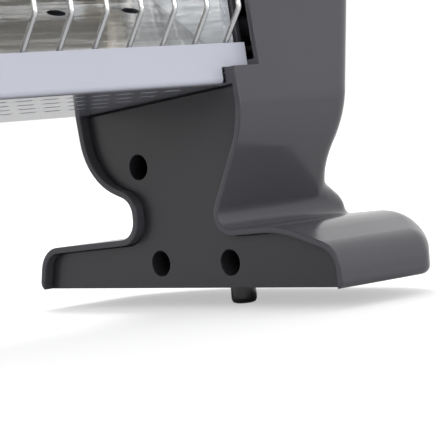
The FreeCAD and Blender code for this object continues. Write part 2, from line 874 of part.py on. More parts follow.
def cheek_form(depth, start):
    """The solid form of a cheek moved in by a depth, from one distance off the rim."""
    side = outline_face(inset(side_outline(), depth), lambda across, up: Vector(start, across, up))
    front = outline_face(inset(front_outline(), depth), lambda across, up: Vector(across, -200, up))
    form = side.extrude(Vector(120, 0, 0)).common(front.extrude(Vector(0, 400, 0)))
    for corner in foot_corners(depth):
        form = form.cut(corner)
    form = form.removeSplitter()
    if not form.Solids:
        raise RuntimeError("the cheek's outlines do not cross")
    form = form.Solids[0]

    def kind(face):
        """A face belongs to the side outline, the outer side or neither."""
        spans = face.ParameterRange
        normal = face.normalAt((spans[0] + spans[1]) / 2, (spans[2] + spans[3]) / 2)
        if abs(normal.x) < 1e-6:
            return "base" if normal.z < -0.999 and face.BoundBox.ZMax < depth + 0.01 else "side"
        return "rim" if normal.x < -0.999 else "outer"

    def seam(shape, first, second):
        found = []
        for edge in shape.Edges:
            kinds = sorted(kind(face) for face in shape.ancestorsOfType(edge, Part.Face))
            if kinds == sorted([first, second]):
                found.append(edge)
        return found

    form = form.makeFillet(size("edge_round") - depth, seam(form, "side", "outer"))
    return form


class Cheek:
    """Shared shapes of both cheeks, measured from the rim of the foot."""


cheek = Cheek()
cheek.outer = cheek_form(0.0, 0.0)
base_edges = []
for edge in cheek.outer.Edges:
    box = edge.BoundBox
    if box.ZMax < 0.01 and box.XMax > 0.01:
        base_edges.append(edge)
cheek.outer = cheek.outer.makeFillet(size("base_round"), base_edges)
cheek.inner = cheek_form(size("wall"), -5.0)
print("cheek form", cheek.outer.isValid(), cheek.inner.isValid())

RIM = "body_length / 2 - shoulder"
to_body = lean_placement()
to_body.Base = to_body.Base - Vector(size(RIM), 0, size("plunger_drop"))


def body_block(left, right, near, far, low_side, high_side):
    """A block square to the body, placed from the rim of a cheek."""
    block = Part.makeBox(right - left, far - near, high_side - low_side, Vector(left, near, low_side))
    block.Placement = to_body.multiply(block.Placement)
    return block


def body_rod(radius, left, right, depth, rise):
    rod = Part.makeCylinder(radius, right - left, Vector(left, depth, rise), Vector(1, 0, 0))
    rod.Placement = to_body.multiply(rod.Placement)
    return rod


def body_seat():
    """The room for the body on a foot, its lower rear edge rounded like the body's."""
    seat = size("seat_gap")
    long = size("shoulder") + 10
    deep = size("body_depth + seat_gap + cover_gap")
    block = Part.makeBox(long, deep, reach, Vector(size(RIM) - 10, -size("cover_gap"), -seat))
    rear_edges = []
    for edge in block.Edges:
        box = edge.BoundBox
        if box.YMin > deep - size("cover_gap") - 0.01 and box.ZMax < 0.01:
            rear_edges.append(edge)
    block = block.makeFillet(size("rear_round") + seat, rear_edges)
    block.Placement = to_body.multiply(block.Placement)
    return block


reach = 300.0
recess = size("cover_recess")
skin = size("cover_metal")
rim = size(RIM)
step = size("shoulder")
wall = size("wall")
gap = size("cover_gap")
wells = [
    (size("well_front"), size("well_low")),
    (size("well_rear"), size("well_low")),
    (size("well_high_rear"), size("well_high")),
]
well_floor = size("cover_recess + well_depth")
body_half = size("body_length / 2")
solid = []
roof = rim + size("cover_recess + cover_metal + cover_gap")
solid.append(body_block(roof, body_half + wall, -20, reach, -wall, reach))
ledge = size("lip_notch_rise") - gap
solid.append(body_block(rim - 1, body_half + wall, -20, -gap, -gap / 2, ledge))
for across, along in SCREW_SPOTS:
    solid.append(body_rod(size("boss_radius"), body_half, body_half + 13, size(across), size(along)))
for across, up in wells:
    boss = Part.makeCylinder(size("boss_radius"), 80, Vector(well_floor, across, up), Vector(1, 0, 0))
    solid.append(boss)

opened = []
sole_half = size("foot_depth / 2 - wall") - 0.1
sole_in = recess + skin + gap
opened.append(Part.makeBox(sole_in + 10, 2 * sole_half, wall + 3, Vector(-10, -sole_half, -2)))
opened.append(body_seat())
opened.append(body_block(rim - 10, body_half, size("body_depth / 2"), reach, size("rear_round / 2"), reach))
opened.append(body_block(rim - 10, body_half, -60, reach, ledge, reach))
slit = body_block(body_half - 1, body_half + wall + 0.5, -20, 3.0, ledge + 2.0, size("body_height") - 2.0)
opened.append(slit.common(cheek.inner))
opened.append(
    body_block(
        body_half - 1,
        body_half + wall + 1,
        size("tube_depth - cap_radius"),
        size("lead_depth + cap_radius / 2"),
        size("tube_rise - cap_radius"),
        size("body_height - tube_rise + cap_radius"),
    )
)
for across, along in SCREW_SPOTS:
    opened.append(
        body_rod(size("pilot_radius"), body_half - 1, body_half + 12, size(across), size(along))
    )
for across, up in wells:
    hole = Part.makeCylinder(size("pilot_radius"), 9, Vector(well_floor - 1, across, up), Vector(1, 0, 0))
    opened.append(hole)

# Right cheek only: plunger guide, post of the snap switch, switch openings and inlet.
plunger_x = size("plunger_in")
plunger_y = size("plunger_y")
guide = size("guide_rise")
snap_low = guide + size("guide_metal + stem_over + plunger_drop + 2 * lever_play + lever_metal")
snap_left = plunger_x + 1.0
right_solid = []
right_solid.append(
    Part.makeBox(80, 14, size("guide_metal"), Vector(plunger_x - 7, plunger_y - 7, guide))
)
right_solid.append(
    Part.makeBox(
        80,
        2.0,
        size("snap_height"),
        Vector(snap_left, plunger_y + size("snap_width / 2"), snap_low),
    )
)
BLOCK_IN = "shoulder + wall + 14"
BLOCK_RISE = "cheek_height - 34"
shelf = Vector(size(BLOCK_IN), 0, size(BLOCK_RISE) - wall - 0.02)
right_solid.append(Part.makeBox(80, size("block_width"), wall, shelf))
right_open = []
hole_radius = size("plunger_radius + plunger_fit")
right_open.append(Part.makeCylinder(hole_radius, wall + 4, Vector(plunger_x, plunger_y, -2)))
stem_hole = size("stem_radius + plunger_fit")
right_open.append(Part.makeCylinder(stem_hole, 20, Vector(plunger_x, plunger_y, guide - 9)))


def on_front(rise):
    """Placement on the front of the right column: x across, -y out, z up along it."""
    angle = math.radians(size("front_lean"))
    up = rise / math.cos(angle) - size("bulge_height") / math.cos(angle)
    base = Vector(
        size("switch_in"),
        size("bulge_front") + up * math.sin(angle),
        size("bulge_height") + up * math.cos(angle),
    )
    return Placement(base, Rotation(Vector(1, 0, 0), -size("front_lean")))


for rise in ("switch_rise_low", "switch_rise_high"):
    half_wide = size("switch_width / 2 + switch_fit")
    half_high = size("switch_height / 2 + switch_fit")
    block = Part.makeBox(2 * half_wide, 14, 2 * half_high, Vector(-half_wide, -6, -half_high))
    block.Placement = on_front(size(rise)).multiply(block.Placement)
    right_open.append(block)


def on_rear(rise):
    """Placement on the back of the right column: y out along the wall's normal."""
    angle = math.radians(size("rear_lean"))
    up = (rise - size("rear_bulge_height")) / math.cos(angle)
    base = Vector(
        size("bush_in"),
        size("rear_bulge") + up * math.sin(angle),
        size("rear_bulge_height") + up * math.cos(angle),
    )
    return Placement(base, Rotation(Vector(1, 0, 0), -size("rear_lean")))


BUSH_RISE = "rear_bulge_height + bush_rise"
hole = Part.makeCylinder(size("bush_radius + neck_fit"), 20, Vector(0, -10, 0), Vector(0, 1, 0))
hole.Placement = on_rear(size(BUSH_RISE)).multiply(hole.Placement)
right_open.append(hole)


def cheek_shell(more_solid, more_open):
    """One hollow cheek with its bosses and openings."""
    space = cheek.inner
    for piece in solid + more_solid:
        space = space.cut(piece)
    shape = cheek.outer.cut(space)
    for piece in opened + more_open:
        shape = shape.cut(piece)
    parts = sorted(shape.Solids, key=lambda part: part.Volume)
    return parts[-1]


def to_place(shape, sign):
    """Carry a shape from its cheek's rim to the right or left end of the heater."""
    moved = shape.copy()
    moved.translate(Vector(rim, 0, size("plunger_drop")))
    if sign < 0:
        moved = moved.mirror(Vector(0, 0, 0), Vector(1, 0, 0))
    return moved


def coded(label, shape):
    piece = keep(doc.addObject("Part::Feature", label), label)
    piece.Shape = shape
    return piece


coded("right_cheek", to_place(cheek_shell(right_solid, right_open), 1))
coded("left_cheek", to_place(cheek_shell([], []), -1))

# Foot covers: plates recessed in the rims, with a deep well over every screw.
cover_line = inset(side_outline(), wall + gap)
for turn in (0, -1):
    cover_line[turn] = (cover_line[turn][0], 0.2, 0.0)
cover_face = outline_face(cover_line, lambda across, up: Vector(recess, across, up))
cover = cover_face.extrude(Vector(skin, 0, 0))
cover = cover.cut(body_block(rim - 10, body_half, -60, reach, -2 * gap, reach))
cover = sorted(cover.Solids, key=lambda part: part.Volume)[-1]
well = size("well_radius")
for across, up in wells:
    spot = Vector(recess + 0.5, across, up)
    tube = Part.makeCylinder(well + size("well_skin"), well_floor - recess - 0.55, spot, Vector(1, 0, 0))
    cover = cover.fuse(tube)
for across, up in wells:
    spot = Vector(recess - 1, across, up)
    cover = cover.cut(Part.makeCylinder(well, well_floor - recess - 1, spot, Vector(1, 0, 0)))
    screw_hole = size("screw_radius + neck_fit")
    cover = cover.cut(Part.makeCylinder(screw_hole, 60, spot, Vector(1, 0, 0)))
cover = cover.removeSplitter().Solids[0]
coded("right_foot_cover", to_place(cover, 1))
coded("left_foot_cover", to_place(cover, -1))


def screw(seat, way):
    """A pan-head screw with a cross recess, its head seated on a point."""
    head_radius = size("screw_head_radius")
    head = size("screw_head")
    shape = Part.makeCylinder(head_radius, head, Vector(0, 0, -head))
    shape = shape.makeFillet(0.8, [shape.Edges[2] if shape.Edges[2].BoundBox.ZMax < 0 else shape.Edges[0]])
    shape = shape.fuse(Part.makeCylinder(size("screw_radius"), size("screw_length"), Vector(0, 0, -0.1)))
    for long_side, short_side in ((3.6, 0.8), (0.8, 3.6)):
        corner = Vector(-long_side / 2, -short_side / 2, -head - 1)
        shape = shape.cut(Part.makeBox(long_side, short_side, 2.2, corner))
    shape.Placement = Placement(seat, Rotation(Vector(0, 0, 1), way))
    return shape


foot_screws = []
for across, up in wells:
    seat = Vector(well_floor - 2.02, across, up)
    foot_screws.append(screw(seat, Vector(1, 0, 0)))
bundle = Part.makeCompound(foot_screws)
coded("right_foot_screws", to_place(bundle, 1))
coded("left_foot_screws", to_place(bundle, -1))

frame_screws = []
for across, along in SCREW_SPOTS:
    seat = Vector(size(FRAME_END + " - metal - 0.02"), size(across), size(along))
    frame_screws.append(screw(seat, Vector(1, 0, 0)))
bundle = Part.makeCompound(frame_screws)
lean(coded("right_frame_screws", bundle))
lean(coded("left_frame_screws", bundle.mirror(Vector(0, 0, 0), Vector(1, 0, 0))))

# Tip-over switch in the right foot: plunger, spring, lever and snap switch.
PLUNGER_X = "body_length / 2 - shoulder + plunger_in"
FLANGE_LOW = "plunger_drop + wall + 0.05"
FLANGE_TOP = FLANGE_LOW + " + plunger_flange"
STEM_TOP = "plunger_drop + guide_rise + guide_metal + stem_over"
plunger = turned(
    "tip_plunger",
    "XZ_Plane",
    "V_Axis",
    [
        ("0", "0"),
        ("plunger_radius - 1.4", "0"),
        ("plunger_radius - 0.4", "0.4"),
        ("plunger_radius", "1.4"),
        ("plunger_radius", FLANGE_LOW),
        ("plunger_flange_radius", FLANGE_LOW),
        ("plunger_flange_radius", FLANGE_TOP),
        ("stem_radius", FLANGE_TOP),
        ("stem_radius", STEM_TOP),
        ("0", STEM_TOP),
    ],
    "-plunger_y",
    PLUNGER_X,
)

turns = size("spring_turns")
spring_low = size(FLANGE_TOP + " + spring_wire / 2 + 0.05")
spring_high = size("plunger_drop + guide_rise - spring_wire / 2 - 0.05")
pitch = (spring_high - spring_low) / turns
edges, spots, ways = helix_edges(Vector(0, 0, 0), turns, pitch, size("spring_radius"))
gap_left = least_gap(edges, 4 * size("spring_radius"), size("spring_wire"))
print("tip_spring least gap to itself %.2f mm" % gap_left)
wound = drawn(edges, size("spring_wire / 2"))
wound.rotate(Vector(0, 0, 0), Vector(0, 1, 0), -90)
wound.translate(Vector(size(PLUNGER_X), size("plunger_y"), spring_low))
coded("tip_spring", wound)

SNAP_LOW = STEM_TOP + " + plunger_drop + 2 * lever_play + lever_metal"
SNAP_LEFT = PLUNGER_X + " + 1.0"
snap = new_body("tip_switch")
sketch = sketch_on(snap, "XZ_Plane", "-plunger_y - snap_width / 2 + 0.03")
rectangle(sketch, SNAP_LEFT, SNAP_LOW, SNAP_LEFT + " + snap_length", SNAP_LOW + " + snap_height")
pad(snap, sketch, "snap_width")
sketch = sketch_on(snap, "XZ_Plane", "-plunger_y + snap_width / 2 + 0.03")
for across in ("5", "15"):
    circle(sketch, SNAP_LEFT + " + " + across, SNAP_LOW + " + 3", "1.1")
pocket(snap, sketch, "snap_width * 2")
sketch = sketch_on(snap, "XZ_Plane", "-plunger_y - 0.25")
for across in ("2", "9", "16"):
    left = SNAP_LEFT + " + " + across
    top = SNAP_LOW + " + snap_height"
    rectangle(sketch, left, top + " - 0.2", left + " + 2.6", top + " + 4.5")
pad(snap, sketch, "0.5")

LEVER_PIVOT = PLUNGER_X + " + lever_reach"
lever = new_body("tip_switch_lever")
sketch = sketch_on(lever, "XZ_Plane", "-plunger_y - lever_width / 2")
tip = PLUNGER_X + " - 2.5"
tip_low = STEM_TOP + " + lever_play"
pivot_low = STEM_TOP + " + plunger_drop + lever_play"
polygon(
    sketch,
    [
        (tip, tip_low),
        (LEVER_PIVOT, pivot_low),
        (LEVER_PIVOT, pivot_low + " + lever_metal"),
        (tip, tip_low + " + lever_metal"),
    ],
)
pad(lever, sketch, "lever_width")
sketch = sketch_on(lever, "XZ_Plane", "-plunger_y - lever_width / 2")
circle(sketch, LEVER_PIVOT, pivot_low + " + lever_metal / 2", "lever_metal / 2")
pad(lever, sketch, "lever_width")


# Rocker switches on the front of the right column.


def front_rule(rise):
    """Placement rule of a piece built square to the front of the right column."""
    up = "(%s - bulge_height)" % rise
    return cell(
        "placement(vector(body_length / 2 - shoulder + switch_in;"
        " bulge_front + %s * tan(front_lean); %s + plunger_drop);"
        " rotation(vector(1; 0; 0); -front_lean))" % (up, rise)
    )


for row, rise in (("lower", "switch_rise_low"), ("upper", "switch_rise_high")):
    housing = new_body("switch_housing_" + row)
    sketch = sketch_on(housing, "XZ_Plane", "0.02")
    half_wide = "bezel_width / 2"
    half_high = "bezel_height / 2"
    rectangle(sketch, "-" + half_wide, "-" + half_high, half_wide, half_high)
    block = pad(housing, sketch, "bezel")
    sketch = sketch_on(housing, "XZ_Plane", "0.02")
    half_wide = "switch_width / 2"
    half_high = "switch_height / 2"
    rectangle(sketch, "-" + half_wide, "-" + half_high, half_wide, half_high)
    pad(housing, sketch, "switch_depth", True)
    sketch = sketch_on(housing, "XZ_Plane", "bezel + 0.02")
    half_wide = "rocker_width / 2 + rocker_fit"
    half_high = "rocker_height / 2 + rocker_fit"
    rectangle(sketch, "-(%s)" % half_wide, "-(%s)" % half_high, half_wide, half_high)
    pocket(housing, sketch, "bezel + 6")
    sketch = sketch_on(housing, "XZ_Plane", "-switch_depth + 0.2")
    for along in ("-6", "0", "6"):
        rectangle(sketch, "-2.4", along + " - 0.4", "2.4", along + " + 0.4")
    pad(housing, sketch, "7.5", True)
    for sign in (-1, 1):
        sketch = sketch_on(housing, "YZ_Plane", "%d * (rocker_width / 2 + rocker_fit + 0.3)" % sign)
        circle(sketch, "0", "0", "pivot_radius")
        pad(housing, sketch, "rocker_fit + 2.3", sign > 0)
    housing.setExpression("Placement", front_rule(rise))

    rocker = new_body("rocker_" + row)
    sketch = sketch_on(rocker, "YZ_Plane", "-rocker_width / 2")
    half = "rocker_height / 2"
    polygon(
        sketch,
        [
            ("2.6", "0"),
            ("-bezel + 1.0", "-" + half),
            ("-bezel - 1.6", "-" + half),
            ("-bezel - 0.6", "0"),
            ("-bezel - 1.6", half),
            ("-bezel + 1.0", half),
        ],
    )
    pad(rocker, sketch, "rocker_width")
    sketch = sketch_on(rocker, "YZ_Plane", "rocker_width")
    circle(sketch, "0", "0", "pivot_radius + 0.3")
    pocket(rocker, sketch, "rocker_width * 2")
    turn = " * placement(vector(0; 0; 0); rotation(vector(1; 0; 0); rocker_tilt))"
    rocker.setExpression("Placement", front_rule(rise) + cell(turn))

# Inlet bush in the back of the right column, and the terminal block inside it.
bush = turned(
    "cord_bush",
    "XY_Plane",
    "V_Axis",
    [
        ("bush_bore", "-wall - 4"),
        ("bush_radius", "-wall - 4"),
        ("bush_radius", "0.05"),
        ("bush_radius + 2.2", "0.05"),
        ("bush_radius + 1.2", "bush_flange + 0.05"),
        ("bush_bore + 1", "bush_flange + 2"),
        ("bush_bore", "bush_flange + 2"),
    ],
)
bush.setExpression(
    "Placement",
    cell(
        "placement(vector(body_length / 2 - shoulder + bush_in; rear_bulge + bush_rise * tan(rear_lean);"
        " rear_bulge_height + bush_rise + plunger_drop); rotation(vector(1; 0; 0); -rear_lean))"
    ),
)

block = new_body("terminal_block")
sketch = sketch_on(block, "XZ_Plane", "0")
BLOCK_LEFT = "body_length / 2 - shoulder + " + BLOCK_IN
BLOCK_LOW = "plunger_drop + " + BLOCK_RISE
rectangle(sketch, BLOCK_LEFT, BLOCK_LOW, BLOCK_LEFT + " + block_length", BLOCK_LOW + " + block_height")
pad(block, sketch, "block_width", True)
sketch = sketch_on(block, "XZ_Plane", "0.5")
for turn in range(3):
    spot = BLOCK_LEFT + " + block_length * %d / 6" % (2 * turn + 1)
    circle(sketch, spot, BLOCK_LOW + " + block_height / 2", "2.2")
pocket(block, sketch, "block_width + 1")

# Hand grip sunk in the back panel.
grip = new_body("hand_grip")
sketch = sketch_on(grip, "XZ_Plane", "-body_depth - 0.02")
rectangle(
    sketch,
    "-grip_length / 2 - grip_rim",
    "grip_rise - grip_rim",
    "grip_length / 2 + grip_rim",
    "grip_rise + grip_height + grip_rim",
)
pad(grip, sketch, "grip_skin", True)
sketch = sketch_on(grip, "XZ_Plane", "-body_depth - 0.02")
rectangle(sketch, "-grip_length / 2", "grip_rise", "grip_length / 2", "grip_rise + grip_height")
pad(grip, sketch, "grip_depth")
sketch = sketch_on(grip, "XZ_Plane", "-body_depth - 0.02 - grip_skin")
rectangle(
    sketch,
    "-grip_length / 2 + grip_skin",
    "grip_rise + grip_skin",
    "grip_length / 2 - grip_skin",
    "grip_rise + grip_height - grip_skin",
)
pocket(grip, sketch, "grip_depth", True)
lean(grip)

# Leads between the studs, the switches and the terminal block.


def at_body(across, depth, rise):
    return lean_placement().multVec(Vector(across, depth, rise))


tube_depth = size("tube_depth")
rise_low, rise_high = [size(row) for row in CAP_ROWS]
stud_end = size("(%s) + neck_length + stud_length" % CAP_FACE) + 0.1
bay = stud_end + 7.0
mid_rise = half_height
lead_depth = size("lead_depth")
block_low = size(BLOCK_LOW)
block_rear = size("block_width") + 0.2
block_mid = block_low + size("block_height / 2")
block_spots = [size(BLOCK_LEFT) + size("block_length") * (2 * turn + 1) / 6.0 for turn in range(3)]
switch_x = size("body_length / 2 - shoulder + switch_in")
tail_y = {}
for rise in ("switch_rise_low", "switch_rise_high"):
    up = (size(rise) - size("bulge_height")) * math.tan(math.radians(size("front_lean")))
    tail_y[rise] = size("bulge_front") + up + size("switch_depth") + 8.2
drop = size("plunger_drop")
routes = [
    [
        at_body(-stud_end, tube_depth, rise_low),
        at_body(-bay, tube_depth, rise_low),
        at_body(-bay, tube_depth, rise_high),
        at_body(-stud_end, tube_depth, rise_high),
    ],
    [
        at_body(-bay + 2.4, tube_depth, mid_rise),
        at_body(-bay + 8.0, lead_depth, mid_rise),
        at_body(bay, lead_depth, mid_rise),
        Vector(block_spots[0], block_rear + 12, block_mid - 30),
        Vector(block_spots[0], block_rear + 12, block_mid),
        Vector(block_spots[0], block_rear, block_mid),
    ],
    [
        at_body(stud_end, tube_depth, rise_low),
        at_body(bay, tube_depth, rise_low),
        Vector(switch_x, tail_y["switch_rise_low"] + 8, size("switch_rise_low") + drop + 6),
        Vector(switch_x, tail_y["switch_rise_low"], size("switch_rise_low") + drop + 6),
    ],
    [
        at_body(stud_end, tube_depth, rise_high),
        at_body(bay, tube_depth, rise_high),
        Vector(switch_x, tail_y["switch_rise_high"] + 8, size("switch_rise_high") + drop + 6),
        Vector(switch_x, tail_y["switch_rise_high"], size("switch_rise_high") + drop + 6),
    ],
    [
        Vector(block_spots[1], block_rear, block_mid),
        Vector(block_spots[1], block_rear + 8, block_mid),
        Vector(block_spots[1], block_rear + 8, 72 + drop),
        Vector(size(SNAP_LEFT) + 17.3, size("plunger_y"), 72 + drop),
        Vector(size(SNAP_LEFT) + 17.3, size("plunger_y"), size(SNAP_LOW + " + snap_height") + 4.7),
    ],
]
leads = [drawn(bent_path(route, size("lead_bend * 0.6")), size("lead_radius")) for route in routes]
coded("leads", Part.makeCompound(leads))

doc.recompute()
os.makedirs("parts", exist_ok=True)
trouble = []
for piece in doc.Objects:
    if "Invalid" in piece.State or "Error" in piece.State:
        trouble.append("%s %s" % (piece.Name, piece.State))
for piece in NODES:
    if piece.Shape.isNull() or not piece.Shape.isValid() or not piece.Shape.Solids:
        trouble.append("%s has no sound shape" % piece.Label)
if trouble:
    raise RuntimeError("; ".join(trouble))
for piece in NODES:
    piece.Shape.exportStep("parts/%s.step" % piece.Label)
    box = piece.Shape.BoundBox
    print(
        "%-26s %2d  x %7.1f %7.1f  y %6.1f %6.1f  z %6.1f %6.1f"
        % (piece.Label, len(piece.Shape.Solids), box.XMin, box.XMax, box.YMin, box.YMax, box.ZMin, box.ZMax)
    )
print(len(NODES), "nodes")
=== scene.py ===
import json
import math

import bpy
import numpy as np
from mathutils import Matrix, Vector


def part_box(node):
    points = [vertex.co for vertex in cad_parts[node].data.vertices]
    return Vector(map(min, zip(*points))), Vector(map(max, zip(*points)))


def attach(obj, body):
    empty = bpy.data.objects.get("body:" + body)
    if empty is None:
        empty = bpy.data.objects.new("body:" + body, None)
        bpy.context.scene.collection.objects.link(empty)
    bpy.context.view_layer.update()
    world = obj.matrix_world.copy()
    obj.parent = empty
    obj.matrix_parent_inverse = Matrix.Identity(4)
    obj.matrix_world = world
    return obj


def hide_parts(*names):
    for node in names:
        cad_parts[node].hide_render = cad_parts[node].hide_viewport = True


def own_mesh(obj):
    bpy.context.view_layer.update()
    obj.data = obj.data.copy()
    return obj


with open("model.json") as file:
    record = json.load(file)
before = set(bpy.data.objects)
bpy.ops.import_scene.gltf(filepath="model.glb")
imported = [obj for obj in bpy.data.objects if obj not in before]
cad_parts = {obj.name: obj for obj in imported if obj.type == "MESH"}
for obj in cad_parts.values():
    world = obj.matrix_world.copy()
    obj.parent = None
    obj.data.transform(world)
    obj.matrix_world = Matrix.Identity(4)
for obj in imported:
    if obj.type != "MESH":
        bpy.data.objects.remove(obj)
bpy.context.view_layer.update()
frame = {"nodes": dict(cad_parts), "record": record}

MM = 0.001
scene = bpy.context.scene
scene.view_settings.view_transform = "Standard"

# Camera: it stands in front of the left half and looks to the right foot, a little turned.
# Its place is in millimetres from the foot's inner rim, its angles in degrees, its clips in metres.

FOOT_RIM = 129.0
FOOT_LIFT = 6.2
CAMERA_FROM_FOOT = (-452.42, -454.28, 52.16)
CAMERA_TURN = 46.183
CAMERA_DIP = 2.964
CAMERA_ROLL = -4.759
FOCAL_PIXELS = 2106.7
FRAME_PIXELS = 448.0
SENSOR_WIDTH = 36.0
CLIP_NEAR = 0.01
CLIP_FAR = 20.0


def set_camera():
    """Place the camera from its turn, dip and roll about the foot of the right cheek."""
    turn, dip, roll = (math.radians(v) for v in (CAMERA_TURN, CAMERA_DIP, CAMERA_ROLL))
    ahead = Vector((math.sin(turn) * math.cos(dip), math.cos(turn) * math.cos(dip), -math.sin(dip)))
    level = Vector((math.cos(turn), -math.sin(turn), 0.0))
    upright = level.cross(ahead)
    right = level * math.cos(roll) + upright * math.sin(roll)
    up = upright * math.cos(roll) - level * math.sin(roll)
    data = bpy.data.cameras.new("photo_camera")
    data.sensor_width = SENSOR_WIDTH
    data.lens = SENSOR_WIDTH * FOCAL_PIXELS / FRAME_PIXELS
    data.clip_start = CLIP_NEAR
    data.clip_end = CLIP_FAR
    camera = bpy.data.objects.new("photo_camera", data)
    scene.collection.objects.link(camera)
    place = Matrix((right, up, -ahead)).transposed().to_4x4()
    foot = Vector((FOOT_RIM, 0.0, FOOT_LIFT))
    place.translation = (Vector(CAMERA_FROM_FOOT) + foot) * MM
    camera.matrix_world = place
    scene.camera = camera


set_camera()

# Shader helpers.

NOISE_MIDDLE = 0.5


def node(tree, kind, **inputs):
    """A node with some of its input sockets set; a property is given with a leading p_."""
    made = tree.nodes.new(kind)
    for name, value in inputs.items():
        if name.startswith("p_"):
            setattr(made, name[2:], value)
        else:
            made.inputs[name.replace("_", " ")].default_value = value
    return made


def link(tree, source, target):
    """Join an output socket to an input socket."""
    tree.links.new(source, target)


def centred(tree, noise):
    """A noise value moved so that it swings about nought."""
    moved = node(tree, "ShaderNodeMath", p_operation="SUBTRACT")
    moved.inputs[1].default_value = NOISE_MIDDLE
    link(tree, noise, moved.inputs[0])
    return moved.outputs[0]


def swung(tree, swing, change, base):
    """A value that swings about a base: base + swing change."""
    total = node(tree, "ShaderNodeMath", p_operation="MULTIPLY_ADD")
    link(tree, swing, total.inputs[0])
    link(tree, change, total.inputs[1])
    link(tree, base, total.inputs[2])
    return total.outputs[0]


def shaded(tree, colour, swing, change):
    """A colour that gets lighter and darker with a swing: colour (1 + swing change)."""
    level = node(tree, "ShaderNodeMath", p_operation="MULTIPLY_ADD")
    level.inputs[2].default_value = 1.0
    link(tree, swing, level.inputs[0])
    link(tree, change, level.inputs[1])
    tint = node(tree, "ShaderNodeVectorMath", p_operation="SCALE")
    link(tree, colour, tint.inputs[0])
    link(tree, level.outputs[0], tint.inputs["Scale"])
    return tint.outputs[0]


def product(tree, first, second, clamp=False):
    """Two values multiplied, kept between 0 and 1 if asked."""
    result = node(tree, "ShaderNodeMath", p_operation="MULTIPLY", p_use_clamp=clamp)
    link(tree, first, result.inputs[0])
    link(tree, second, result.inputs[1])
    return result.outputs[0]


def blended(tree, mask, colour, other):
    """A colour that turns into another, fixed one where the mask is 1."""
    mix = node(tree, "ShaderNodeMix", p_data_type="RGBA")
    link(tree, mask, mix.inputs["Factor"])
    link(tree, colour, mix.inputs["A"])
    mix.inputs["B"].default_value = (*other, 1.0)
    return mix.outputs["Result"]


def new_group(name, inputs, outputs):
    """An empty shader node group with named sockets, and its two end nodes."""
    group = bpy.data.node_groups.new(name, "ShaderNodeTree")
    for label, kind, value in inputs:
        socket = group.interface.new_socket(label, in_out="INPUT", socket_type=kind)
        socket.default_value = value
    for label, kind in outputs:
        group.interface.new_socket(label, in_out="OUTPUT", socket_type=kind)
    return group, group.nodes.new("NodeGroupInput"), group.nodes.new("NodeGroupOutput")


# Effects that several finishes share.

SPECKLE_SHARE = 0.5
DUST_SCALE = 140.0
DUST_TINT = (0.45, 0.44, 0.42)
# Painted shade in the depth of the screw wells.
WELL_FALL = 160.0
WELL_SHADE_TINT = (0.004, 0.004, 0.004)
# Painted shade on what faces down.
UNDER_STARTS = -0.5
UNDER_FULL = -0.97
UNDER_SHADE_TINT = (0.05, 0.05, 0.05)
SKIN_OUTPUTS = [
    ("Colour", "NodeSocketColor"),
    ("Roughness", "NodeSocketFloat"),
    ("Height", "NodeSocketFloat"),
]


def moulded_skin_group():
    """Moulded or painted skin: fine grain for the bump, slow cloudy change of shade and gloss."""
    group, start, end = new_group(
        "moulded_skin",
        [
            ("Colour", "NodeSocketColor", (0.1, 0.1, 0.1, 1.0)),
            ("Shade Change", "NodeSocketFloat", 0.1),
            ("Gloss", "NodeSocketFloat", 0.35),
            ("Gloss Change", "NodeSocketFloat", 0.06),
            ("Grain Scale", "NodeSocketFloat", 1800.0),
            ("Cloud Scale", "NodeSocketFloat", 22.0),
        ],
        SKIN_OUTPUTS,
    )
    given = start.outputs
    place = node(group, "ShaderNodeTexCoord").outputs["Object"]
    grain = node(group, "ShaderNodeTexNoise", Detail=3.0, Roughness=0.6)
    cloud = node(group, "ShaderNodeTexNoise", Detail=4.0, Roughness=0.55, Distortion=0.6)
    for noise, scale in ((grain, "Grain Scale"), (cloud, "Cloud Scale")):
        link(group, place, noise.inputs["Vector"])
        link(group, given[scale], noise.inputs["Scale"])
    slow = centred(group, cloud.outputs["Fac"])
    both = node(group, "ShaderNodeMath", p_operation="MULTIPLY_ADD")
    both.inputs[1].default_value = SPECKLE_SHARE
    link(group, centred(group, grain.outputs["Fac"]), both.inputs[0])
    link(group, slow, both.inputs[2])
    colour = shaded(group, given["Colour"], both.outputs[0], given["Shade Change"])
    link(group, colour, end.inputs["Colour"])
    link(group, swung(group, slow, given["Gloss Change"], given["Gloss"]), end.inputs["Roughness"])
    link(group, grain.outputs["Fac"], end.inputs["Height"])
    return group


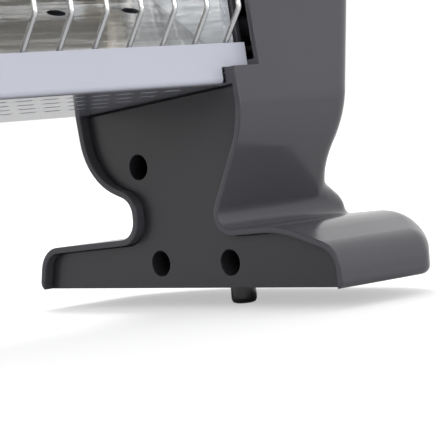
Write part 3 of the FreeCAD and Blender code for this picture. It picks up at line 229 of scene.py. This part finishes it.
def rolled_streaks_group():
    """Rolled or drawn metal: long fine lines along one axis over slow waves of the sheet."""
    group, start, end = new_group(
        "rolled_streaks",
        [
            ("Colour", "NodeSocketColor", (0.8, 0.8, 0.8, 1.0)),
            ("Shade Change", "NodeSocketFloat", 0.2),
            ("Gloss", "NodeSocketFloat", 0.15),
            ("Gloss Change", "NodeSocketFloat", 0.15),
            ("Stretch", "NodeSocketVector", (6.0, 900.0, 900.0)),
            ("Wave Stretch", "NodeSocketVector", (25.0, 60.0, 60.0)),
            ("Wave Share", "NodeSocketFloat", 0.6),
        ],
        SKIN_OUTPUTS,
    )
    given = start.outputs
    place = node(group, "ShaderNodeTexCoord").outputs["Object"]
    noises = []
    for stretch, detail in (("Stretch", 4.0), ("Wave Stretch", 2.0)):
        mapping = node(group, "ShaderNodeMapping")
        link(group, place, mapping.inputs["Vector"])
        link(group, given[stretch], mapping.inputs["Scale"])
        noise = node(group, "ShaderNodeTexNoise", Scale=1.0, Detail=detail, Roughness=0.6)
        link(group, mapping.outputs["Vector"], noise.inputs["Vector"])
        noises.append(noise.outputs["Fac"])
    streak, wave = noises
    swing = centred(group, streak)
    height = node(group, "ShaderNodeMix", p_data_type="FLOAT")
    link(group, given["Wave Share"], height.inputs["Factor"])
    link(group, streak, height.inputs["A"])
    link(group, wave, height.inputs["B"])
    link(group, shaded(group, given["Colour"], swing, given["Shade Change"]), end.inputs["Colour"])
    link(group, swung(group, swing, given["Gloss Change"], given["Gloss"]), end.inputs["Roughness"])
    link(group, height.outputs["Result"], end.inputs["Height"])
    return group


def dust_and_shade_group(name, amount, value):
    """An empty group that changes a colour by one amount, used for the real dust and for the painted shades.
    """
    inputs = [("Colour", "NodeSocketColor", (0.1, 0.1, 0.1, 1.0)), (amount, "NodeSocketFloat", value)]
    return new_group(name, inputs, [("Colour", "NodeSocketColor")])


def upward(group):
    """The upward part of the surface's own normal."""
    slope = node(group, "ShaderNodeSeparateXYZ")
    link(group, node(group, "ShaderNodeNewGeometry").outputs["Normal"], slope.inputs[0])
    return slope.outputs["Z"]


def settled_dust_group():
    """Pale dust on what faces up: a mask from the surface's own slope, broken by noise."""
    group, start, end = dust_and_shade_group("settled_dust", "Amount", 0.05)
    noise = node(group, "ShaderNodeTexNoise", Scale=DUST_SCALE, Detail=5.0, Roughness=0.7)
    link(group, node(group, "ShaderNodeTexCoord").outputs["Object"], noise.inputs["Vector"])
    lying = product(group, upward(group), noise.outputs["Fac"], clamp=True)
    mask = product(group, lying, start.outputs["Amount"])
    link(group, blended(group, mask, start.outputs["Colour"], DUST_TINT), end.inputs["Colour"])
    return group


def well_shade_group():
    """Painted shade, black in the depth of the screw wells: a mask from the distance to the middle of the
    heater.
    """
    group, start, end = dust_and_shade_group("well_shade", "Start", 0.133)
    spot = node(group, "ShaderNodeSeparateXYZ")
    link(group, node(group, "ShaderNodeTexCoord").outputs["Object"], spot.inputs[0])
    out = node(group, "ShaderNodeMath", p_operation="ABSOLUTE")
    link(group, spot.outputs["X"], out.inputs[0])
    depth = node(group, "ShaderNodeMath", p_operation="SUBTRACT")
    link(group, out.outputs[0], depth.inputs[0])
    link(group, start.outputs["Start"], depth.inputs[1])
    mask = node(group, "ShaderNodeMath", p_operation="MULTIPLY", p_use_clamp=True)
    mask.inputs[1].default_value = WELL_FALL
    link(group, depth.outputs[0], mask.inputs[0])
    link(group, blended(group, mask.outputs[0], start.outputs["Colour"], WELL_SHADE_TINT), end.inputs["Colour"])
    return group


def under_shade_group():
    """Painted shade on what faces down: a mask from the downward part of the surface's own normal."""
    group, start, end = dust_and_shade_group("under_shade", "Share", 0.6)
    down = node(group, "ShaderNodeMapRange", p_interpolation_type="SMOOTHSTEP")
    down.inputs["From Min"].default_value = UNDER_STARTS
    down.inputs["From Max"].default_value = UNDER_FULL
    link(group, upward(group), down.inputs["Value"])
    mask = product(group, down.outputs["Result"], start.outputs["Share"])
    link(group, blended(group, mask, start.outputs["Colour"], UNDER_SHADE_TINT), end.inputs["Colour"])
    return group


MOULDED = moulded_skin_group()
STREAKED = rolled_streaks_group()
DUSTED = settled_dust_group()
WELL_SHADE = well_shade_group()
UNDER_SHADE = under_shade_group()

# Finishes: colours are linear, gloss is the shader's roughness, lengths are in metres.

SKIN_DEPTH = 0.0002
EDGE_SAMPLES = 6
# Painted shade on the wire's edges, where they turn away from the eye.
WIRE_TURNED = 0.45
WIRE_EDGE_SHADE = (0.12, 0.12, 0.125)
QUARTZ_IOR = 1.458
QUARTZ_CLEAR = 0.65
END_FOIL_METAL = 0.45


def new_finish(name):
    """An empty material with one Principled shader, and its tree and shader."""
    material = bpy.data.materials.new(name)
    material.use_nodes = True
    return material, material.node_tree, material.node_tree.nodes["Principled BSDF"]


def effect(tree, group, **inputs):
    """A shared effect placed in a material, with some of its inputs set."""
    placed = tree.nodes.new("ShaderNodeGroup")
    placed.node_tree = group
    for name, value in inputs.items():
        placed.inputs[name.replace("_", " ")].default_value = value
    return placed


def bump_from(tree, shader, height, strength, distance, edge=0.0):
    """Bump from a height; with an edge radius the sharp corners also catch the light as if rounded."""
    bump = node(tree, "ShaderNodeBump", Strength=strength, Distance=distance)
    link(tree, height, bump.inputs["Height"])
    if edge > 0.0:
        bevel = node(tree, "ShaderNodeBevel", Radius=edge, p_samples=EDGE_SAMPLES)
        link(tree, bevel.outputs["Normal"], bump.inputs["Normal"])
    link(tree, bump.outputs["Normal"], shader.inputs["Normal"])


def moulded(
    name, colour, gloss, change=0.1, grain=1800.0, bump=0.12, dust=0.04, gloss_change=0.08,
    edge=0.0, well=0.0, under=0.0, **plain
):
    """A moulded or painted finish; plain values go straight to the shader's own sockets."""
    material, tree, shader = new_finish(name)
    skin = effect(
        tree, MOULDED, Colour=(*colour, 1.0), Shade_Change=change, Gloss=gloss, Gloss_Change=gloss_change,
        Grain_Scale=grain
    )
    # Real dust, then painted shade in the screw wells and on what faces down.
    dust_and_shades = [effect(tree, DUSTED, Amount=dust)]
    if well > 0.0:
        dust_and_shades.append(effect(tree, WELL_SHADE, Start=well))
    if under > 0.0:
        dust_and_shades.append(effect(tree, UNDER_SHADE, Share=under))
    dusted_and_shaded = skin.outputs["Colour"]
    for coat in dust_and_shades:
        link(tree, dusted_and_shaded, coat.inputs["Colour"])
        dusted_and_shaded = coat.outputs["Colour"]
    link(tree, dusted_and_shaded, shader.inputs["Base Color"])
    link(tree, skin.outputs["Roughness"], shader.inputs["Roughness"])
    bump_from(tree, shader, skin.outputs["Height"], bump, SKIN_DEPTH, edge)
    for socket, value in plain.items():
        shader.inputs[socket.replace("_", " ")].default_value = value
    return material


def streaked(
    name, colour, gloss, stretch, waves, change=0.2, gloss_change=0.15, share=0.5, bump=0.1, depth=0.0004,
    metal=1.0
):
    """A bare metal finish with rolling or drawing lines along one axis."""
    material, tree, shader = new_finish(name)
    lines = effect(
        tree, STREAKED, Colour=(*colour, 1.0), Shade_Change=change, Gloss=gloss, Gloss_Change=gloss_change,
        Stretch=stretch, Wave_Stretch=waves, Wave_Share=share
    )
    link(tree, lines.outputs["Colour"], shader.inputs["Base Color"])
    link(tree, lines.outputs["Roughness"], shader.inputs["Roughness"])
    bump_from(tree, shader, lines.outputs["Height"], bump, depth)
    shader.inputs["Metallic"].default_value = metal
    return material


def wire_finish():
    """Bright drawn wire: the streaked chrome, with painted shade where the surface turns away from the eye.
    """
    material = streaked("guard_chrome", (0.80, 0.81, 0.82), 0.14, (700.0, 700.0, 8.0), (90.0, 90.0, 90.0))
    tree = material.node_tree
    base = tree.nodes["Principled BSDF"].inputs["Base Color"]
    edge_shade_mask = node(tree, "ShaderNodeLayerWeight", Blend=WIRE_TURNED).outputs["Facing"]
    link(tree, blended(tree, edge_shade_mask, base.links[0].from_socket, WIRE_EDGE_SHADE), base)
    return material


def quartz_finish():
    """Milky fused quartz, half clear: a thin tint and faint drawing lines along the tube."""
    material, tree, shader = new_finish("quartz")
    lines = effect(
        tree, STREAKED, Colour=(0.92, 0.91, 0.89, 1.0), Shade_Change=0.06, Gloss=0.32, Gloss_Change=0.08,
        Stretch=(5.0, 700.0, 700.0)
    )
    link(tree, lines.outputs["Colour"], shader.inputs["Base Color"])
    link(tree, lines.outputs["Roughness"], shader.inputs["Roughness"])
    shader.inputs["Transmission Weight"].default_value = QUARTZ_CLEAR
    shader.inputs["IOR"].default_value = QUARTZ_IOR
    return material


ALL_WAYS = (500.0, 500.0, 500.0)
SLOW_WAVES = (60.0, 60.0, 60.0)
FINISH = {
    "cheek_plastic": moulded(
        "cheek_plastic", (0.066, 0.0645, 0.0735), 0.17, grain=1500.0, bump=0.03, edge=0.0009, dust=0.02,
        gloss_change=0.06, Specular_IOR_Level=0.29
    ),
    # The cover gets painted shade in the depth of its screw wells.
    "cover_plastic": moulded(
        "cover_plastic", (0.0255, 0.025, 0.029), 0.33, grain=1900.0, bump=0.10, edge=0.0004, well=0.1327,
        dust=0.02
    ),
    # The body's underside gets painted shade.
    "body_paint": moulded(
        "body_paint", (0.455, 0.465, 0.536), 0.15, change=0.04, grain=700.0, bump=0.03, gloss_change=0.05,
        dust=0.02, under=0.66, Specular_IOR_Level=0.3
    ),
    "reflector_foil": streaked(
        "reflector_foil", (0.63, 0.62, 0.60), 0.10, (9.0, 380.0, 380.0), (13.0, 120.0, 120.0), change=1.3,
        gloss_change=0.2, share=0.86, bump=0.75, depth=0.0008
    ),
    "guard_chrome": wire_finish(),
    "zinc_steel": streaked("zinc_steel", (0.60, 0.61, 0.60), 0.32, ALL_WAYS, SLOW_WAVES),
    "coil_wire": streaked("coil_wire", (0.10, 0.085, 0.075), 0.42, ALL_WAYS, SLOW_WAVES, change=0.5),
    "brass": streaked("brass", (0.78, 0.58, 0.28), 0.25, (900.0, 40.0, 40.0), SLOW_WAVES),
    "dark_screw": streaked("dark_screw", (0.06, 0.06, 0.06), 0.4, ALL_WAYS, SLOW_WAVES),
    "ceramic": moulded("ceramic", (0.88, 0.85, 0.79), 0.7, grain=1200.0, bump=0.25),
    "plunger_plastic": moulded(
        "plunger_plastic", (0.004, 0.004, 0.0045), 0.12, grain=1500.0, bump=0.03, edge=0.0008, dust=0.0,
        Coat_Weight=0.7
    ),
    "switch_plastic": moulded("switch_plastic", (0.018, 0.018, 0.020), 0.32, grain=2400.0, edge=0.0003),
    "rocker_plastic": moulded(
        "rocker_plastic", (0.024, 0.024, 0.026), 0.2, grain=2400.0, bump=0.05, edge=0.0005
    ),
    "bush_rubber": moulded("bush_rubber", (0.02, 0.02, 0.02), 0.65, grain=1300.0, bump=0.2),
    "block_plastic": moulded("block_plastic", (0.66, 0.63, 0.56), 0.45),
    "lead_sleeve": moulded("lead_sleeve", (0.56, 0.53, 0.46), 0.75, change=0.3, grain=1600.0, bump=0.4),
    "quartz": quartz_finish(),
}
END_FOIL = streaked(
    "end_foil", (0.86, 0.90, 0.96), 0.24, (160.0, 24.0, 260.0), (50.0, 30.0, 130.0), change=1.8,
    gloss_change=0.5, share=0.6, bump=0.6, depth=0.0008, metal=END_FOIL_METAL
)

SLOT_OF = {part["node"]: part["material_slot"] for part in frame["record"]["subparts"]}
for name, piece in frame["nodes"].items():
    for place in piece.material_slots:
        place.material = END_FOIL if name.startswith("reflector_end") else FINISH[SLOT_OF[name]]

# Wound pieces: a round wire carried along a path.

NEARLY_ALONG = 0.9
X_AXIS = np.array([[1.0, 0.0, 0.0]])
Z_AXIS = np.array([[0.0, 0.0, 1.0]])


def tube_mesh(name, path, radius, sides):
    """A round tube: point + radius (cos b n + sin b m), where n and m are square to the path's direction."""
    way = np.gradient(path, axis=0)
    way /= np.linalg.norm(way, axis=1, keepdims=True)
    helper = np.where(np.abs(way[:, :1]) < NEARLY_ALONG, X_AXIS, Z_AXIS)
    first = np.cross(way, helper)
    first /= np.linalg.norm(first, axis=1, keepdims=True)
    second = np.cross(way, first)
    around = np.linspace(0.0, 2.0 * np.pi, sides, endpoint=False)
    ring = first[:, None] * np.cos(around)[None, :, None] + second[:, None] * np.sin(around)[None, :, None]
    points = (path[:, None] + radius * ring).reshape(-1, 3)
    row = np.arange(len(path) - 1)[:, None] * sides
    here = np.arange(sides)[None, :]
    there = (here + 1) % sides
    corners = (row + here, row + there, row + sides + there, row + sides + here)
    quads = np.stack(corners, axis=-1).reshape(-1, 4)
    caps = [list(range(sides))[::-1], list(range(len(points) - sides, len(points)))]
    mesh = bpy.data.meshes.new(name)
    mesh.from_pydata(points.tolist(), [], quads.tolist() + caps)
    mesh.polygons.foreach_set("use_smooth", np.ones(len(mesh.polygons), dtype=bool))
    mesh.update()
    piece = bpy.data.objects.new(name, mesh)
    scene.collection.objects.link(piece)
    return piece


# Heating windings: one fine close helix in each tube, in place of the wide solid one.

WINDING_TURNS = 118
WINDING_STEPS = 20
WINDING_SIDES = 6
WINDING_RADIUS = 3.55
WINDING_WIRE = 0.38
WINDING_LEAD = 8.0


def winding(row):
    """A wire carried along a helix on the tube's axis: centre = (x(s), r cos a, r sin a) with a = 2 pi
    turns s; at both ends r shrinks smoothly to the axis, and a small circle stands across the path."""
    low, high = (np.array(corner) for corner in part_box("heating_coil_" + row))
    tube_low, tube_high = (np.array(corner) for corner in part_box("quartz_tube_" + row))
    middle = (tube_low + tube_high) / 2
    along = np.linspace(0.0, 1.0, WINDING_TURNS * WINDING_STEPS + 1)
    span = high[0] - low[0]
    lead = WINDING_LEAD * MM / span
    ease = np.clip(np.minimum(along, 1.0 - along) / lead, 0.0, 1.0)
    radius = WINDING_RADIUS * MM * ease * ease * (3.0 - 2.0 * ease)
    angle = 2.0 * np.pi * WINDING_TURNS * along
    across = middle[1] + radius * np.cos(angle)
    rise = middle[2] + radius * np.sin(angle)
    path = np.stack((low[0] + span * along, across, rise), axis=1)
    return tube_mesh("winding_" + row, path, WINDING_WIRE * MM, WINDING_SIDES)


for row in ("lower", "upper"):
    piece = winding(row)
    piece.data.materials.append(FINISH["coil_wire"])
    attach(piece, "heater")
    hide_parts("heating_coil_" + row)

# Return spring of the plunger: an upright helix in place of the solid one.

SPRING_TURNS = 7
SPRING_STEPS = 28
SPRING_SIDES = 10
SPRING_WIRE = 0.7


def return_spring():
    """A wire carried along an upright helix: centre = (r cos a, r sin a, z(s)) with a = 2 pi turns s."""
    low, high = (np.array(corner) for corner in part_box("tip_spring"))
    middle = (low + high) / 2
    wire = SPRING_WIRE * MM / 2
    radius = (high[0] - low[0]) / 2 - wire
    along = np.linspace(0.0, 1.0, SPRING_TURNS * SPRING_STEPS + 1)
    angle = 2.0 * np.pi * SPRING_TURNS * along
    rise = low[2] + wire + (high[2] - low[2] - 2.0 * wire) * along
    path = np.stack((middle[0] + radius * np.cos(angle), middle[1] + radius * np.sin(angle), rise), axis=1)
    piece = tube_mesh("return_spring", path, wire, SPRING_SIDES)
    piece.data.materials.append(FINISH[SLOT_OF["tip_spring"]])
    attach(piece, "heater")
    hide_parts("tip_spring")
    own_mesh(piece)


return_spring()

# Stage: a pale floor at the plunger's tip, a pale room, and three soft lights: high behind, left and front.

FLOOR_HALF = 6.0
FLOOR_TINT = (0.60, 0.60, 0.60)
FLOOR_GLOW = 0.45
WHITE = (1.0, 1.0, 1.0, 1.0)


def floor_finish():
    """A pale table: a matt white sheet with a faint mottle, its shadows lifted where it is looked at."""
    material = moulded("floor_sheet", FLOOR_TINT, 0.8, change=0.01, bump=0.0, dust=0.0)
    tree = material.node_tree
    shader = tree.nodes["Principled BSDF"]
    shader.inputs["Emission Color"].default_value = WHITE
    glow = node(tree, "ShaderNodeMath", p_operation="MULTIPLY")
    glow.inputs[1].default_value = FLOOR_GLOW
    link(tree, node(tree, "ShaderNodeLightPath").outputs["Is Camera Ray"], glow.inputs[0])
    link(tree, glow.outputs[0], shader.inputs["Emission Strength"])
    return material


def lay_floor():
    """A flat square sheet at height nought, about the middle of the heater."""
    half = FLOOR_HALF
    corners = [(-half, -half, 0), (half, -half, 0), (half, half, 0), (-half, half, 0)]
    mesh = bpy.data.meshes.new("floor")
    mesh.from_pydata(corners, [], [(0, 1, 2, 3)])
    mesh.update()
    sheet = bpy.data.objects.new("floor", mesh)
    scene.collection.objects.link(sheet)
    sheet.data.materials.append(floor_finish())


lay_floor()

ROOM_BRIGHT = 1.05
ROOM_DARK = 0.75
ROOM_DARK_SIDE = (-0.80, -0.52, 0.30)
ROOM_FALL_STARTS = 0.2
ROOM_FALL_ENDS = 0.75


def set_room():
    """A pale room that falls off to grey behind the camera: a mix by the direction looked in."""
    world = bpy.data.worlds.new("studio")
    scene.world = world
    world.use_nodes = True
    tree = world.node_tree
    facing = node(tree, "ShaderNodeVectorMath", p_operation="DOT_PRODUCT")
    facing.inputs[1].default_value = ROOM_DARK_SIDE
    link(tree, node(tree, "ShaderNodeTexCoord").outputs["Generated"], facing.inputs[0])
    fall = node(tree, "ShaderNodeMapRange", p_interpolation_type="SMOOTHSTEP")
    fall.inputs["From Min"].default_value = ROOM_FALL_STARTS
    fall.inputs["From Max"].default_value = ROOM_FALL_ENDS
    fall.inputs["To Min"].default_value = ROOM_BRIGHT
    fall.inputs["To Max"].default_value = ROOM_DARK
    link(tree, facing.outputs["Value"], fall.inputs["Value"])
    background = tree.nodes["Background"]
    link(tree, fall.outputs["Result"], background.inputs["Strength"])
    background.inputs["Color"].default_value = WHITE


set_room()

FOOT = (0.16, 0.0, 0.06)
CHEEK = (0.14, 0.0, 0.12)
COLUMN = (0.14, 0.0, 0.2)
# Each light: its name, place, the point it looks at, width, height and power.
LIGHTS = (
    ("top_light", (0.85, 1.05, 1.5), FOOT, 0.6, 0.6, 15.0),
    ("left_light", (-1.4, -0.75, 0.75), CHEEK, 0.8, 0.8, 12.0),
    ("front_light", (0.12, -1.6, 0.36), COLUMN, 0.25, 0.72, 6.0),
)


def soft_light(name, spot, target, width, height, power):
    """A rectangular soft light that looks at a point."""
    data = bpy.data.lights.new(name, "AREA")
    data.shape = "RECTANGLE"
    data.size = width
    data.size_y = height
    data.energy = power
    lamp = bpy.data.objects.new(name, data)
    scene.collection.objects.link(lamp)
    way = Vector(target) - Vector(spot)
    lamp.rotation_euler = way.to_track_quat("-Z", "Y").to_euler()
    lamp.location = spot


for light in LIGHTS:
    soft_light(*light)
